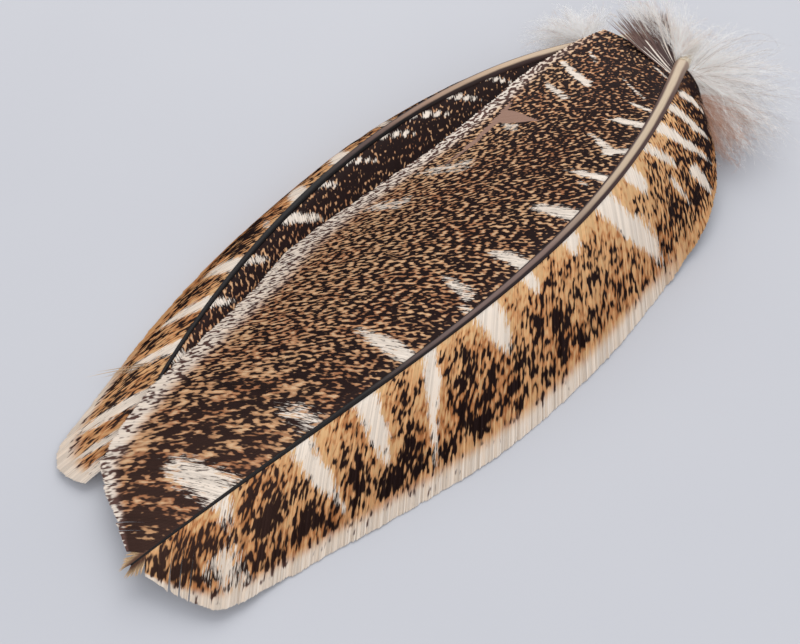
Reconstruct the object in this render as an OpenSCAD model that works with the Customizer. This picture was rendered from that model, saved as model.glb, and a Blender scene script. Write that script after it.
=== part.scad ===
// A matched left and right pair of quill pens cut from wing feathers, laid one over the other.
// Each quill is a hollow barrel cut to a nib, a solid-cored shaft, two webs of hooked barbs with
// the small webs that have split off them, and the down at its base. Millimetres, +Z up, the
// table at Z 0, the feather tips towards -Y and the nibs towards +Y.

/* [Barrel and nib] */
// Outer radius of the barrel's straight wall
barrel_r = 2.6; // [2.2:0.1:3]
// Outer radius at the barrel's root, where the shaft begins
barrel_root_r = 2.7; // [2.6:0.05:3]
// Outer radius at the nib's point
nib_r = 2.45; // [2.3:0.05:2.6]
// Length of the root that narrows to the straight wall
barrel_root_len = 10; // [8:1:14]
// Thickness of the barrel's wall
barrel_wall = 0.5; // [0.4:0.05:0.7]
// Radius of the scoop that opens the barrel's underside
scoop_r = 20; // [16:1:26]
// Radius of the two hollow cuts that narrow the nib to its point
shoulder_r = 15; // [12:1:20]
// Width of the nib's point
point_w = 1; // [0.8:0.1:1.4]
// Length of the slit that carries ink to the point
slit_len = 9; // [6:1:12]

/* [Shaft] */
// Width of the shaft at the feather's tip
shaft_tip_w = 0.6; // [0.5:0.1:1]
// Shaft's height as a share of its width
shaft_depth = 0.95; // [0.85:0.05:1]
// Horny wall of the shaft as a share of its width
shaft_wall = 0.12; // [0.1:0.01:0.14]

/* [Webs] */
// Thickness of a web of barbs
web_t = 0.7; // [0.5:0.1:0.8]
// Longest barb of the upper quill's broad web
upper_inner_barb = 90; // [84:1:92]
// Longest barb of the upper quill's narrow web
upper_outer_barb = 42; // [38:1:46]
// Longest barb of the lower quill's broad web
lower_inner_barb = 74; // [68:1:76]
// Longest barb of the lower quill's narrow web
lower_outer_barb = 36; // [32:1:40]

/* [Upper quill's centre line] */
// Where the barrel ends and the vane begins
upper_base = [8, 147, 20]; // [-60:1:160]
// Next guide point of the curve, which also sets the barrel's direction
upper_rise = [19, 114, 37.5]; // [-60:0.5:160]
// Middle guide point of the curve
upper_crown = [44, 49, 28]; // [-60:1:160]
// Fourth guide point of the curve
upper_fall = [15, -1, 18]; // [-60:1:160]
// Tip of the feather
upper_tip = [-2, -107, 9]; // [-120:1:160]

/* [Lower quill's centre line] */
// Where the barrel ends and the vane begins
lower_base = [-28, 145, 12]; // [-60:1:160]
// Next guide point of the curve, which also sets the barrel's direction
lower_rise = [-38, 112, 22]; // [-60:1:160]
// Middle guide point of the curve
lower_crown = [-81, 50, 16]; // [-90:1:160]
// Fourth guide point of the curve
lower_fall = [-48, -57, 9]; // [-60:1:160]
// Tip of the feather
lower_tip = [-28, -94, 4]; // [-120:1:160]

/* [Hidden] */

// Moves the pair so that its box is centred over the origin
centre = [8, -38, 0];

// Guide points of the two centre lines, from the vane's base to the feather's tip
upper_line = [upper_base, upper_rise, upper_crown, upper_fall, upper_tip];
lower_line = [lower_base, lower_rise, lower_crown, lower_fall, lower_tip];

// Barb lengths at even stations from base to tip, as shares of the longest barb
inner_profile = [0.40, 0.78, 0.98, 0.97, 0.86, 0.75, 0.63, 0.45, 0.33];
upper_outer_profile = [0.19, 0.69, 0.78, 0.90, 1.00, 0.96, 0.87, 0.78, 0.66];
lower_outer_profile = [0.08, 0.25, 0.47, 0.61, 0.69, 0.78, 0.83, 0.94, 1.00];
even_profile = [1, 1];

// A web is [side, longest barb, profile, margin heights at even stations,
// barb angles from the shaft at base, middle and tip, bend along a barb, arch of a barb].
// A margin height below the web's own half thickness lies on the table.
// Side 1 is on the right of the shaft, seen from the barrel towards the tip, turned up to +X.
RIGHT = 1;
LEFT = -1;
upper_inner = [LEFT, upper_inner_barb, inner_profile, [20, 18.5, 11, 9.5, 9], [100, 54, 60], -20, 1.4];
upper_outer = [RIGHT, upper_outer_barb, upper_outer_profile, [12, 0, 0, 0, 7], [80, 42, 48], 4, 1.6];
lower_inner = [RIGHT, lower_inner_barb, inner_profile, [6, 0, 0, 0, 3], [100, 54, 60], -20, 1.2];
lower_outer = [LEFT, lower_outer_barb, lower_outer_profile, [4, 0, 0, 0, 3], [80, 32, 44], -4, 1.6];
upper_tuft_left = [LEFT, 9, even_profile, [8, 8], [58, 58, 58], -14, 1.2];
upper_tuft_right = [RIGHT, 8, even_profile, [7, 7], [50, 50, 50], -10, 1.2];
upper_basal = [LEFT, 34, even_profile, [25, 25], [112, 112, 112], 8, 1.2];
lower_stray = [LEFT, 28, even_profile, [1.5, 1.5], [62, 62, 62], 10, 1.6];

// Where each web begins and ends along the shaft, from 0 at the base to 1 at the tip
inner_web_from = 0.045;
outer_web_from = 0.02;
inner_split = 0.885;
outer_split = 0.935;
split_gap = 0.006;
tip_web_to = 0.968;
tuft_from = 0.976;
round_from = 0.85;

// Mesh of the webs and shafts
web_rows = 36;
barb_steps = 7;
shaft_rings = 36;
shaft_sides = 12;
table_steps = 120;
root_reach = 0.4;
root_lift = 0.15;

shaft_colour = [0.72, 0.64, 0.52];
barrel_colour = [0.86, 0.82, 0.72];
pith_colour = [0.96, 0.94, 0.88];
dark_web = [0.30, 0.21, 0.15];
tan_web = [0.62, 0.44, 0.27];
down_colour = [0.72, 0.67, 0.62];

$fn = 48;

// ---- centre line ----

// Point of a Bezier curve with any number of guide points
function bezier(p, t) = len(p) == 1 ? p[0]
    : bezier([for (i = [0 : len(p) - 2]) p[i] * (1 - t) + p[i + 1] * t], t);

// Length travelled against curve parameter, at even parameter steps
function length_table(p) = [
    for (i = 0, s = 0; i <= table_steps; i = i + 1,
         s = s + norm(bezier(p, min(i, table_steps) / table_steps) - bezier(p, (i - 1) / table_steps)))
        [s, i / table_steps]
];

// Curve parameter at share x of the curve's length
function at_share(table, x) = lookup(x * table[table_steps][0], table);

// Unit direction of the centre line, from base to tip
function heading(p, t) = let (
    d = bezier([for (i = [0 : len(p) - 2]) p[i + 1] - p[i]], t)) d / norm(d);

// The same direction seen from above
function plan_heading(p, t) = let (h = heading(p, t)) [h.x, h.y, 0] / norm([h.x, h.y]);

// Smooth curve through evenly spaced stations
function station(v, x) = let (
    n = len(v) - 1,
    i = min(floor(x * n), n - 1),
    f = x * n - i,
    a = v[max(i - 1, 0)], b = v[i], c = v[i + 1], d = v[min(i + 2, n)])
    b + 0.5 * f * (c - a + f * (2 * a - 5 * b + 4 * c - d + f * (3 * (b - c) + d - a)));

// Width of the shaft at share x, from the barrel's width to the tip's
function shaft_w(x) = shaft_tip_w + (2 * barrel_r - shaft_tip_w) * (1 - x);

// ---- webs ----

// Shrinks the barbs over the last stretch, so that the web ends round
function rounding(x) = 1 - pow(max(0, x - round_from) / (1 - round_from), 1.5);

// Angle between barb root and shaft at share x
function barb_angle(a, x) = a[1] + (a[0] - a[1]) * exp(-8 * x) + (a[2] - a[1]) * exp(-12 * (1 - x));

// Points of the barb rooted at share x: in plan an arc, and in height a fall from root to margin
function barb(line, table, web, x, length) = let (
    t = at_share(table, x),
    root = bezier(line, t),
    ahead = plan_heading(line, t),
    out = web[0] * [-ahead.y, ahead.x, 0],
    angle = barb_angle(web[4], x),
    bend = web[5],
    scale_up = length * 180 / (PI * bend),
    z0 = root.z + root_lift * shaft_w(x),
    z1 = max(station(web[3], x), web_t / 2))
    [for (j = [0 : barb_steps - 1]) let (
        u = j / (barb_steps - 1),
        forward = scale_up * (sin(angle + bend * u) - sin(angle)),
        sideways = scale_up * (cos(angle) - cos(angle + bend * u)) + root_reach * shaft_w(x))
        [root.x, root.y, z0 + (z1 - z0) * pow(u, web[6])] + ahead * forward + out * sideways];

// Closed sheet of even thickness around a grid of points, whose rows run out on the given side
module sheet(grid, thick, side) {
    rows = len(grid);
    cols = len(grid[0]);
    half = [0, 0, thick / 2];
    under = rows * cols;
    points = concat([for (row = grid) for (p = row) p + half],
                    [for (row = grid) for (p = row) p - half]);
    // Corners of one strip of quads between two runs of point numbers
    function strip(a, b) = [for (k = [0 : len(a) - 2]) each
        [[a[k], a[k + 1], b[k + 1]], [a[k], b[k + 1], b[k]]]];
    function row_of(i, low) = [for (j = [0 : cols - 1]) low + i * cols + j];
    function col_of(j, low) = [for (i = [0 : rows - 1]) low + i * cols + j];
    faces = concat(
        [for (i = [0 : rows - 2]) each strip(row_of(i, 0), row_of(i + 1, 0))],
        [for (i = [0 : rows - 2]) each strip(row_of(i + 1, under), row_of(i, under))],
        strip(row_of(0, under), row_of(0, 0)),
        strip(row_of(rows - 1, 0), row_of(rows - 1, under)),
        strip(col_of(0, 0), col_of(0, under)),
        strip(col_of(cols - 1, under), col_of(cols - 1, 0)));
    polyhedron(points, [for (f = faces) side > 0 ? f : [f[2], f[1], f[0]]], convexity = 6);
}

// One web between two shares of the shaft; its barbs shorten towards the tip when rounded
module web(line, spec, from, to, rows = web_rows, rounded = true) {
    table = length_table(line);
    grid = [for (i = [0 : rows - 1]) let (x = from + (to - from) * i / (rows - 1))
        barb(line, table, spec, x, spec[1] * station(spec[2], x) * (rounded ? rounding(x) : 1))];
    sheet(grid, web_t, spec[0]);
}

// A few narrow blades of loose barbs, fanned by the given angle from one to the next
module loose_barbs(line, spec, from, step, count, width, fan, shorten) {
    for (k = [0 : count - 1]) {
        turned = [for (a = spec[4]) a - fan * k];
        blade = [spec[0], spec[1] * (1 - shorten * k), spec[2], spec[3], turned, spec[5], spec[6]];
        web(line, blade, from + step * k, from + step * k + width, rows = 3, rounded = false);
    }
}

// ---- shaft ----

// Ring of a rounded-square section around the centre line, scaled by grow
function shaft_ring(line, t, x, grow) = let (
    ahead = heading(line, t),
    side = cross(ahead, [0, 0, 1]) / norm(cross(ahead, [0, 0, 1])),
    up = cross(side, ahead),
    w = shaft_w(x) * grow,
    centre_point = bezier(line, t))
    [for (k = [0 : shaft_sides - 1]) let (
        a = 360 * k / shaft_sides,
        c = cos(a),
        s = sin(a),
        r = w / 2 / pow(pow(abs(c), 2.4) + pow(abs(s), 2.4), 1 / 2.4))
        centre_point + side * r * c + up * r * s * shaft_depth];

// Solid that follows the centre line between two shares of its length
module shaft_body(line, from, to, grow) {
    table = length_table(line);
    rings = [for (i = [0 : shaft_rings - 1]) let (x = from + (to - from) * i / (shaft_rings - 1))
        shaft_ring(line, at_share(table, x), x, grow)];
    last = (shaft_rings - 1) * shaft_sides;
    points = [for (ring = rings) each ring];
    faces = concat(
        [[for (k = [0 : shaft_sides - 1]) shaft_sides - 1 - k]],
        [for (i = [0 : shaft_rings - 2]) for (k = [0 : shaft_sides - 1]) let (
            a = i * shaft_sides + k,
            b = i * shaft_sides + (k + 1) % shaft_sides) each
            [[a, b, b + shaft_sides], [a, b + shaft_sides, a + shaft_sides]]],
        [[for (k = [0 : shaft_sides - 1]) last + k]]);
    polyhedron(points, faces, convexity = 6);
}

// Horny outer wall of the shaft, hollow along the stretch that holds the pith
pith_from = 0.004;
pith_to = 0.88;
module shaft_rind(line) {
    difference() {
        shaft_body(line, 0, 1, 1);
        shaft_body(line, pith_from, pith_to, 1 - 2 * shaft_wall);
    }
}

// Foamy core that fills the shaft's hollow
module pith_core(line) {
    pith_slack = 0.02;
    shaft_body(line, pith_from + 0.0005, pith_to - 0.0005, 1 - 2 * shaft_wall - pith_slack);
}

// ---- barrel ----

// Points local +Z from the vane's base along the barrel to the nib, and local +X downwards
module along_barrel(line) {
    d = -heading(line, 0);
    translate(line[0]) rotate([0, acos(d.z), atan2(d.y, d.x)]) children();
}

// Length of barrel that the scoop opens, back from the point
scoop_floor = 0.9;
scoop_back = sqrt(pow(scoop_r, 2) - pow(scoop_r - 2 * barrel_r + scoop_floor, 2));

// Length at which either the nib's point or the heel of its scoop just meets the table
function barrel_len(line) = let (
    d = heading(line, 0),
    level = norm([d.x, d.y]),
    to_point = (line[0].z + (barrel_r - barrel_wall) * level) / d.z,
    to_heel = (line[0].z - barrel_r * level) / d.z + scoop_back)
    min(to_point, to_heel);

// Hollow barrel, thinning from root to nib, with its scoop, its two shoulders and the ink slit
module cut_barrel(line) {
    long = barrel_len(line);
    thin_from = long - scoop_back - 1;
    slit_w = 0.14;
    over = 1;
    along_barrel(line) difference() {
        union() {
            cylinder(h = barrel_root_len, r1 = barrel_root_r, r2 = barrel_r);
            translate([0, 0, barrel_root_len])
                cylinder(h = thin_from - barrel_root_len, r = barrel_r);
            translate([0, 0, thin_from]) cylinder(h = long - thin_from, r1 = barrel_r, r2 = nib_r);
        }
        translate([0, 0, -over]) cylinder(h = long + 2 * over, r = barrel_r - barrel_wall);
        translate([scoop_r - barrel_r + scoop_floor, 0, long])
            rotate([90, 0, 0]) cylinder(h = 4 * barrel_r, r = scoop_r, center = true, $fn = 96);
        for (s = [-1, 1])
            translate([0, s * (point_w / 2 + shoulder_r), long])
                rotate([0, 90, 0]) cylinder(h = 4 * barrel_r, r = shoulder_r, center = true, $fn = 96);
        translate([-2 * barrel_r, -slit_w / 2, long - slit_len])
            cube([2 * barrel_r, slit_w, slit_len + over]);
    }
}

// Dried membrane caps in a row on one thread inside the barrel
module pulp_row(line) {
    caps = 4;
    cap_step = 5;
    cap_t = 0.15;
    cap_rise = 1.6;
    thread_r = 0.2;
    rim_r = barrel_r - barrel_wall - 0.02;
    along_barrel(line) {
        translate([0, 0, 1]) cylinder(h = cap_step * caps, r = thread_r, $fn = 24);
        for (k = [1 : caps])
            translate([0, 0, cap_step * k]) rotate_extrude()
                polygon([[0, 0], [rim_r, -cap_rise], [rim_r, -cap_rise + cap_t], [0, 2 * cap_t]]);
    }
}

// ---- down ----

// Tuft of down: lobes that spread from one root, each given by its far end and its radius
module tuft(root, lobes) {
    root_r = 1.5;
    for (lobe = lobes)
        hull() {
            translate(root) sphere(r = root_r, $fn = 12);
            translate(lobe[0]) sphere(r = lobe[1], $fn = 18);
        }
}

// ---- nodes of the upper quill ----

module upper_barrel() { color(barrel_colour) translate(centre) cut_barrel(upper_line); }
module upper_pulp_caps() { color(pith_colour) translate(centre) pulp_row(upper_line); }
module upper_shaft() { color(shaft_colour) translate(centre) shaft_rind(upper_line); }
module upper_pith() { color(pith_colour) translate(centre) pith_core(upper_line); }
module upper_inner_vane() {
    color(dark_web) translate(centre) web(upper_line, upper_inner, inner_web_from, inner_split);
}
module upper_outer_vane() {
    color(tan_web) translate(centre) web(upper_line, upper_outer, outer_web_from, outer_split);
}
module upper_inner_tip_web() {
    color(dark_web) translate(centre)
        web(upper_line, upper_inner, inner_split + split_gap, tip_web_to, rows = 8);
}
module upper_outer_tip_web() {
    color(tan_web) translate(centre)
        web(upper_line, upper_outer, outer_split + split_gap, tip_web_to, rows = 6);
}
module upper_tip_tuft() {
    color(tan_web) translate(centre) {
        web(upper_line, upper_tuft_left, tuft_from, 1, rows = 4, rounded = false);
        web(upper_line, upper_tuft_right, tuft_from, 1, rows = 4, rounded = false);
    }
}
module upper_basal_barbs() {
    color(dark_web) translate(centre)
        loose_barbs(upper_line, upper_basal, 0.003, 0.008, 5, 0.005, 2.5, 0.04);
}
module upper_inner_down() {
    color(down_colour) translate(centre)
        tuft([4, 149, 21], [[[-8, 170, 21], 5], [[-20, 167, 22], 6], [[-24, 157, 24], 4]]);
}
module upper_outer_down() {
    color(down_colour) translate(centre)
        tuft([12, 148, 18], [[[24, 178, 9], 8], [[38, 164, 9], 9], [[46, 146, 9], 8], [[40, 133, 9], 7]]);
}

// ---- nodes of the lower quill ----

module lower_barrel() { color(barrel_colour) translate(centre) cut_barrel(lower_line); }
module lower_pulp_caps() { color(pith_colour) translate(centre) pulp_row(lower_line); }
module lower_shaft() { color(shaft_colour) translate(centre) shaft_rind(lower_line); }
module lower_pith() { color(pith_colour) translate(centre) pith_core(lower_line); }
module lower_inner_vane() {
    color(dark_web) translate(centre) web(lower_line, lower_inner, inner_web_from, tip_web_to);
}
module lower_outer_vane() {
    color(tan_web) translate(centre) web(lower_line, lower_outer, outer_web_from, inner_split);
}
module lower_outer_tip_web() {
    color(tan_web) translate(centre)
        web(lower_line, lower_outer, inner_split + split_gap, tip_web_to, rows = 8);
}
module lower_stray_barb() {
    color(tan_web) translate(centre)
        loose_barbs(lower_line, lower_stray, 0.83, 0, 1, 0.004, 0, 0);
}
module lower_inner_down() {
    color(down_colour) translate(centre)
        tuft([-24.5, 143.5, 10.7], [[[-12, 162, 6], 5], [[-8, 150, 5], 4.5]]);
}
module lower_outer_down() {
    color(down_colour) translate(centre)
        tuft([-32, 147, 11], [[[-38, 164, 7], 6], [[-48, 154, 7], 7], [[-50, 142, 7], 6]]);
}

upper_barrel();
upper_pulp_caps();
upper_shaft();
upper_pith();
upper_inner_vane();
upper_outer_vane();
upper_inner_tip_web();
upper_outer_tip_web();
upper_tip_tuft();
upper_basal_barbs();
upper_inner_down();
upper_outer_down();
lower_barrel();
lower_pulp_caps();
lower_shaft();
lower_pith();
lower_inner_vane();
lower_outer_vane();
lower_outer_tip_web();
lower_stray_barb();
lower_inner_down();
lower_outer_down();
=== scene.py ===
"""A matched left and right pair of quill pens cut from mottled wing feathers, dressed in full.

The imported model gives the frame: barrels, caps and pith keep their own solids and get better
finishes here. The shafts, the webs of barbs, the loose barbs and the down are built again, in
the places that their plain solids hold. Sizes are in millimetres until a mesh is made.
"""

import logging
import math
from dataclasses import dataclass, field
from enum import Enum
from functools import cached_property
from typing import Any, Callable

import bpy
import numpy as np
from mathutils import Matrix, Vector


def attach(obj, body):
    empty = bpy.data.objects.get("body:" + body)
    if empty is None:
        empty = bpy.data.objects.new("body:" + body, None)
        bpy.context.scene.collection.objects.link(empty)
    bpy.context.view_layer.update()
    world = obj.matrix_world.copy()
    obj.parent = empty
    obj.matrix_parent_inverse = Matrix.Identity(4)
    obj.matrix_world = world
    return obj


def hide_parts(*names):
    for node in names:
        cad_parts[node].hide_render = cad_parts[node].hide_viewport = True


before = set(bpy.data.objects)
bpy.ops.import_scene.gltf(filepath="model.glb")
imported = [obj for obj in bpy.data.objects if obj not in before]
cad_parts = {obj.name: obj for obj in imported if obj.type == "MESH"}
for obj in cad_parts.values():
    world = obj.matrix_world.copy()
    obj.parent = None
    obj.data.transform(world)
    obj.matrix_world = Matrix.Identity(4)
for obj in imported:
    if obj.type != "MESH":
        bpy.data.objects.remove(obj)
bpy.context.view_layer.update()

MM = 0.001
LOG = logging.getLogger("quill_pair")
Colour = tuple[float, float, float]
Point = tuple[float, float, float]
Stops = tuple[tuple[float, Colour], ...]
MAP_UNIT = 100.0  # millimetres to one unit of a piece's map
BARB_MAP = "barbs"
TURN = 100.0  # a whole turn round a shaft on its map


class Body(str, Enum):
    """The two bodies that the pieces ride on."""

    UPPER = "upper_quill"
    LOWER = "lower_quill"


class Side(int, Enum):
    """Side of the shaft, seen from the barrel towards the tip and turned up to +X."""

    LEFT = -1
    RIGHT = 1


# ---- nodes of a material ----


def operator(operation: str, swapped: bool = False) -> Callable[["Sock", Any], "Sock"]:
    """Python operator that adds a Math node; swapped serves a number on the left."""
    def apply(this: "Sock", other: Any) -> "Sock":
        """Output of the Math node."""
        return this.recipe.math(operation, *((other, this) if swapped else (this, other)))
    return apply


class Sock:
    """A node's output that takes part in Python arithmetic."""

    def __init__(self, recipe: "Recipe", socket: Any) -> None:
        """Keeps the recipe and the output socket."""
        self.recipe = recipe
        self.socket = socket

    __add__, __radd__ = operator("ADD"), operator("ADD", True)
    __sub__, __rsub__ = operator("SUBTRACT"), operator("SUBTRACT", True)
    __mul__, __rmul__ = operator("MULTIPLY"), operator("MULTIPLY", True)
    __truediv__ = operator("DIVIDE")


class Recipe:
    """One material, built up from named nodes and Python expressions."""

    def __init__(self, name: str) -> None:
        """Starts a material that holds one Principled surface.

        Args:
            name: the material's name.
        """
        self.material = bpy.data.materials.new(name)
        self.material.use_nodes = True
        self.tree = self.material.node_tree
        self.tree.nodes.clear()
        self.surface = self.tree.nodes.new("ShaderNodeBsdfPrincipled")
        output = self.tree.nodes.new("ShaderNodeOutputMaterial")
        self.tree.links.new(self.surface.outputs[0], output.inputs["Surface"])

    def join(self, socket: Any, value: Any) -> None:
        """Sets an input to a number or colour, or links it to an output."""
        if isinstance(value, Sock):
            self.tree.links.new(value.socket, socket)
        elif isinstance(value, tuple) and socket.type == "RGBA":
            socket.default_value = (*value, 1.0)
        else:
            socket.default_value = value

    def node(self, kind: str, settings: dict[str, Any] | None = None,
             inputs: dict[Any, Any] | None = None, output: int | str = 0) -> Sock:
        """Adds a node.

        Args:
            kind: the node's type, without "ShaderNode".
            settings: attributes set before anything is joined; "stops" fills a colour ramp.
            inputs: socket names or numbers with their values or links.
            output: name or number of the output that is wanted.

        Returns:
            That output.
        """
        new = self.tree.nodes.new("ShaderNode" + kind)
        for key, value in (settings or {}).items():
            if key == "stops":
                self.fill_ramp(new.color_ramp, value)
            else:
                setattr(new, key, value)
        for key, value in (inputs or {}).items():
            self.join(new.inputs[key], value)
        return Sock(self, new.outputs[output])

    @staticmethod
    def fill_ramp(ramp: Any, stops: Stops) -> None:
        """Gives a colour ramp its stops, in order."""
        while len(ramp.elements) < len(stops):
            ramp.elements.new(0.5)
        for element, (place, colour) in zip(ramp.elements, stops):
            element.position = place
            element.color = (*colour, 1.0)

    def math(self, operation: str, *values: Any) -> Sock:
        """Adds a Math node on values or links."""
        return self.node("Math", {"operation": operation}, dict(enumerate(values)))

    def smooth(self, value: Any, low: float, high: float) -> Sock:
        """Smooth rise from 0 at low to 1 at high."""
        return self.node("MapRange", {"interpolation_type": "SMOOTHSTEP"},
                         {"Value": value, "From Min": low, "From Max": high})

    def vector(self, x: Any, y: Any, z: Any = 0.0) -> Sock:
        """Vector from three values."""
        return self.node("CombineXYZ", inputs={0: x, 1: y, 2: z})

    def noise(self, place: Sock, detail: float = 2.0, roughness: float = 0.5) -> Sock:
        """Noise with one feature to a unit of the given place."""
        return self.node("TexNoise", {"noise_dimensions": "3D"},
                         {"Vector": place, "Scale": 1.0, "Detail": detail, "Roughness": roughness},
                         "Fac")

    def random(self, value: Any) -> Sock:
        """Random number from 0 to 1 that changes with the whole part of a value."""
        return self.node("TexWhiteNoise", {"noise_dimensions": "1D"}, {"W": value}, "Value")

    def mix(self, share: Any, first: Any, second: Any) -> Sock:
        """Colour between two colours."""
        return self.node("Mix", {"data_type": "RGBA"}, {0: share, 6: first, 7: second}, 2)

    def shade(self, colour: Any, factor: Any) -> Sock:
        """Colour or vector multiplied by a factor."""
        return self.node("VectorMath", {"operation": "SCALE"}, {0: colour, "Scale": factor})

    def ramp(self, place: Sock, stops: Stops) -> Sock:
        """Colour read from a ramp at a place of 0 to 1."""
        return self.node("ValToRGB", {"stops": stops}, {0: place})

    def value(self, attribute: str) -> Sock:
        """A number kept on the piece's points."""
        return self.node("Attribute", {"attribute_name": attribute}, output="Fac")

    def map_axes(self) -> tuple[Sock, Sock]:
        """The two axes of the piece's own map, in millimetres."""
        place = self.node("UVMap", {"uv_map": BARB_MAP})
        axes = self.node("SeparateXYZ", inputs={0: place}).socket.node.outputs
        return Sock(self, axes[0]) * MAP_UNIT, Sock(self, axes[1]) * MAP_UNIT

    def object_place(self, feature_mm: float) -> Sock:
        """Object coordinates, with one unit to a feature of the given size."""
        return self.shade(self.node("TexCoord", output="Object"), 1 / (feature_mm * MM))

    def bump(self, height: Sock, depth_mm: float) -> None:
        """Feeds the surface's normal with a bump of the given depth."""
        self.set(Normal=self.node("Bump", inputs={"Height": height, "Distance": depth_mm * MM}))

    def set(self, **values: Any) -> None:
        """Sets the surface's inputs; an underscore in a name stands for a space."""
        for key, value in values.items():
            self.join(self.surface.inputs[key.replace("_", " ")], value)


def tint(red: float, green: float, blue: float) -> Colour:
    """Linear colour from display values of 0 to 255."""
    def linear(value: float) -> float:
        """One channel, by the sRGB curve."""
        share = value / 255
        return share / 12.92 if share <= 0.04045 else ((share + 0.055) / 1.055) ** 2.4
    return linear(red), linear(green), linear(blue)


# ---- finishes ----

CREAM = tint(229, 216, 201)
TAN = tint(194, 150, 110)
CARAMEL = tint(211, 162, 113)
UMBER = tint(34, 19, 17)
HORN = tint(204, 184, 158)
MAUVE = tint(104, 84, 78)
BLACK_HORN = tint(16, 11, 11)


@dataclass(frozen=True)
class WebFinish:
    """Hooked barbs: dark flecks drawn out along the barbs on tan, broken by cream bars.

    Sizes are in millimetres: the pitch of the barbs, flecks and blotches across and along them,
    how far blotches fray, the length over which flecks are finer near the root, and where along
    the shaft the dark bleaches. Contrast is how far a web's dark value shifts the flecks' edge.
    """

    name: str
    tan: Colour
    dark: Colour
    cream: Colour
    russet: Colour
    straw: Colour
    faded: Colour = tint(104, 76, 68)
    bare: Colour = tint(148, 116, 100)
    bleached: Colour = tint(60, 40, 33)
    contrast: float = 0.42
    dark_edge: tuple[float, float] = (0.46, 0.54)
    bar_edge: tuple[float, float] = (0.42, 0.66)
    warmth_size: float = 14.0
    bleached_over: tuple[float, float] = (165.0, 250.0)
    pitch: float = 0.5
    fleck_across: float = 1.35
    fleck_along: float = 2.1
    finer: float = 1.3
    fine_over: float = 45.0
    blotch_across: float = 4.0
    blotch_along: float = 5.6
    blotch_fray: float = 1.2
    roughness: float = 0.62

    def make(self) -> bpy.types.Material:
        """Builds the material.

        Returns:
            A material that reads the barb map and the values dark, cream, rim, coarse and bare.
        """
        recipe = Recipe(self.name)
        along_shaft, along_barb = recipe.map_axes()
        # each barb, and each group of three, carries its marks a little further out or in
        own = recipe.random(recipe.math("FLOOR", along_shaft / self.pitch))
        group = recipe.random(recipe.math("FLOOR", along_shaft / (3 * self.pitch)) + 0.5)
        shifted = along_barb + (own - 0.5) * 0.7 + (group - 0.5) * 0.5
        # flecks crowd together and shrink towards the shaft's root
        near_root = recipe.math("EXPONENT", along_shaft / -self.fine_over)
        crowded = along_shaft + (1 - near_root) * (self.fine_over * self.finer)
        shrunk = shifted * (1 + near_root * self.finer * 0.6)
        flecks = recipe.noise(recipe.vector(crowded / self.fleck_across,
                                            shrunk / self.fleck_along), 0.6)
        uneven = shifted + (own - 0.5) * self.blotch_fray
        blotches = recipe.noise(recipe.vector(along_shaft / self.blotch_across,
                                              uneven / self.blotch_along, 7.3), 1.0)
        coarse = recipe.value("coarse")
        mottle = flecks * (1 - coarse) + (blotches * 0.6 + flecks * 0.4) * coarse
        level = mottle + (recipe.value("dark") - 0.5) * self.contrast
        dark_mask = recipe.smooth(level, *self.dark_edge)
        # cream bars fray along the barbs, and flecks show through their edges
        streaks = recipe.noise(recipe.vector(along_shaft / self.pitch, shifted / 5, 3.1), 3.0, 0.65)
        bars = recipe.value("cream")
        frayed = (streaks - 0.5) * 2.6 + (flecks - 0.5) * 0.9
        bars = bars + frayed * recipe.smooth(bars, 0.0, 0.5)
        cream_mask = recipe.smooth(bars, *self.bar_edge)
        covered = cream_mask * (1 - recipe.smooth(bars, 1.0, 0.6))
        rim = recipe.smooth(recipe.value("rim") + (streaks - 0.5) * 0.5, 0.1, 0.9)
        warmth = recipe.noise(recipe.vector(along_shaft / self.warmth_size,
                                            along_barb / self.warmth_size, 1.7), 1.0)
        warm = recipe.smooth(warmth + (own - 0.5) * 0.3, 0.3, 0.7)
        tan = recipe.mix(warm, self.russet, self.tan)
        tan = recipe.mix(recipe.smooth(level, 0.46, 0.34), tan, self.straw)
        pale = recipe.mix(cream_mask, recipe.mix(rim, tan, self.cream), self.cream)
        dark = recipe.mix(recipe.smooth(along_shaft, *self.bleached_over), self.dark, self.bleached)
        dark = recipe.mix(rim * 0.8, dark, self.faded)
        blotched = recipe.mix(dark_mask * (1 - covered), pale, dark)
        lit = recipe.shade(blotched, 0.88 + 0.24 * own)
        skin = recipe.smooth(recipe.value("bare"), 0.4, 0.6)
        recipe.set(Base_Color=recipe.mix(skin, lit, self.bare),
                   Roughness=self.roughness + 0.1 * own, Specular_IOR_Level=0.12)
        ridge = recipe.math("PINGPONG", along_shaft / self.pitch, 0.5)
        recipe.bump(ridge * 0.7 + streaks * 0.6, 0.08)
        return recipe.material


@dataclass(frozen=True)
class ShaftFinish:
    """Horn of a shaft: pale at the barrel, mauve brown further on and black at the tip; its top is
    paler than its flanks, partly its own colour and partly a painted highlight.
    """

    name: str
    length: float
    crest_and_highlight: Stops
    flank: Stops

    def make(self) -> bpy.types.Material:
        """Builds the material.

        Returns:
            A material that reads the shaft's map: millimetres along it, and its turn, a quarter
            of the way round at the top.
        """
        recipe = Recipe(self.name)
        along, around = recipe.map_axes()
        place = along / self.length
        wave = recipe.noise(recipe.vector(along / 9, around / 9), 2.0, 0.6) - 0.5
        # the top's colours are partly the horn's own and partly a painted highlight along the top
        crest_and_highlight = recipe.ramp(place + wave * 0.05, self.crest_and_highlight)
        flank = recipe.ramp(place, self.flank)
        off_crest = recipe.math("ABSOLUTE", around - TURN / 4)
        edge = recipe.smooth(off_crest + wave * 3, 4.5, 10.5)
        grain = recipe.noise(recipe.vector(along / 7, around / 1.6), 3.0, 0.6)
        # the painted highlight lies on the top, where edge is 0; the flanks hold the horn's darker
        # edges
        colour = recipe.mix(edge, crest_and_highlight, flank)
        recipe.set(Base_Color=recipe.shade(colour, 0.8 + 0.4 * grain), Roughness=0.34 + 0.2 * grain)
        recipe.set(Specular_IOR_Level=0.22)
        recipe.bump(grain, 0.03)
        return recipe.material


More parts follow.
